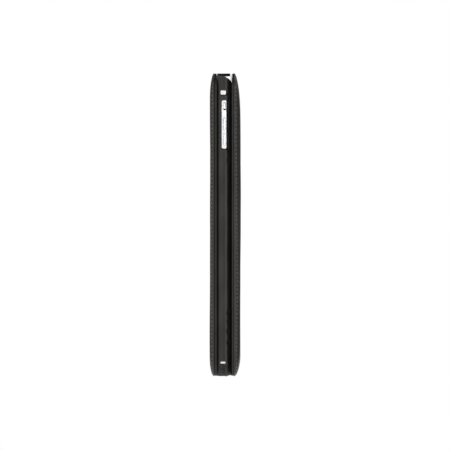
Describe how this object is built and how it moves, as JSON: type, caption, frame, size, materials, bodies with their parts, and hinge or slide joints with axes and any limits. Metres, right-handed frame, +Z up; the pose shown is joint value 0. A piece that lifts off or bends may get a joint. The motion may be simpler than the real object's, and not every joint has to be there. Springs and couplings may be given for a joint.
{
  "type": "handheld slate computer in a leather pouch",
  "caption": "Handheld slate computer in a padded, stitched leather pouch, with side windows for its keys and a tab that lifts it out",
  "frame": {"origin": "middle of the pouch's base, at the level that its panels stand on", "axes": "+Z up towards the pouch's mouth, +X across the width towards the side with the keys, -Y towards the screen"},
  "size_m": [0.1968, 0.025, 0.2501],
  "materials": {
    "pouch_leather": "satin, fine grain",
    "lining": "brushed microfibre",
    "stiff_board": "matt",
    "padding": "matt foam",
    "ribbon": "ribbed",
    "shell_aluminium": "bead-blasted and anodised",
    "key_metal": "polished",
    "cover_glass": "polished",
    "black_plastic": "fine texture",
    "display": "semi-gloss",
    "cell_foil": "foil",
    "circuit_board": "satin",
    "steel": "satin"
  },
  "bodies": {
    "pouch": {"front_panel_cover": "pouch_leather", "front_panel_board": "stiff_board", "front_panel_padding": "padding", "back_panel_cover": "pouch_leather", "back_panel_board": "stiff_board", "back_panel_padding": "padding", "front_lining": "lining", "back_lining": "lining", "right_gusset": "pouch_leather", "right_gusset_top": "pouch_leather", "key_window_front": "pouch_leather", "key_window_back": "pouch_leather", "left_gusset": "pouch_leather", "base_gusset": "pouch_leather"},
    "slate": {"rear_shell": "shell_aluminium", "cover_glass": "cover_glass", "glass_gasket": "black_plastic", "display_module": "display", "battery_cell_left": "cell_foil", "battery_cell_right": "cell_foil", "main_board": "circuit_board", "processor_shield": "steel", "power_shield": "steel", "wireless_module": "steel", "board_screw_1": "steel", "board_screw_2": "steel", "board_screw_3": "steel", "board_screw_4": "steel", "headphone_socket": "black_plastic", "speaker_box": "black_plastic", "dock_socket": "steel", "microphone": "black_plastic", "light_sensor": "black_plastic", "side_switch_board": "circuit_board", "volume_up_switch": "steel", "volume_down_switch": "steel", "lock_switch": "black_plastic", "power_switch": "steel", "home_switch": "steel", "lift_ribbon": "ribbon"},
    "volume_up": {"volume_up_key": "key_metal"},
    "volume_down": {"volume_down_key": "key_metal"},
    "lock": {"lock_slider": "key_metal"},
    "power": {"power_key": "key_metal"},
    "home": {"home_button": "black_plastic"},
    "tab": {"lift_tab": "pouch_leather"}
  },
  "joints": [
    {"name": "slate_lift", "type": "slide", "parent": "pouch", "child": "slate", "axis": [0, 0, 1], "range_m": [0, 0.25]},
    {"name": "tab_lift", "type": "hinge", "parent": "slate", "child": "tab", "pos_m": [0, 0.0047, 0.2496], "axis": [-1, 0, 0], "range_deg": [0, 110]},
    {"name": "volume_up_press", "type": "slide", "parent": "slate", "child": "volume_up", "axis": [-1, 0, 0], "range_m": [0, 0.0004], "stiffness_N_per_m": 3000, "springref_m": -0.0001},
    {"name": "volume_down_press", "type": "slide", "parent": "slate", "child": "volume_down", "axis": [-1, 0, 0], "range_m": [0, 0.0004], "stiffness_N_per_m": 3000, "springref_m": -0.0001},
    {"name": "lock_slide", "type": "slide", "parent": "slate", "child": "lock", "axis": [0, 0, -1], "range_m": [0, 0.0016]},
    {"name": "power_press", "type": "slide", "parent": "slate", "child": "power", "axis": [0, 0, -1], "range_m": [0, 0.0004], "stiffness_N_per_m": 3000, "springref_m": -0.0001},
    {"name": "home_press", "type": "slide", "parent": "slate", "child": "home", "axis": [0, 1, 0], "range_m": [0, 0.0004], "stiffness_N_per_m": 3000, "springref_m": -0.0001}
  ]
}
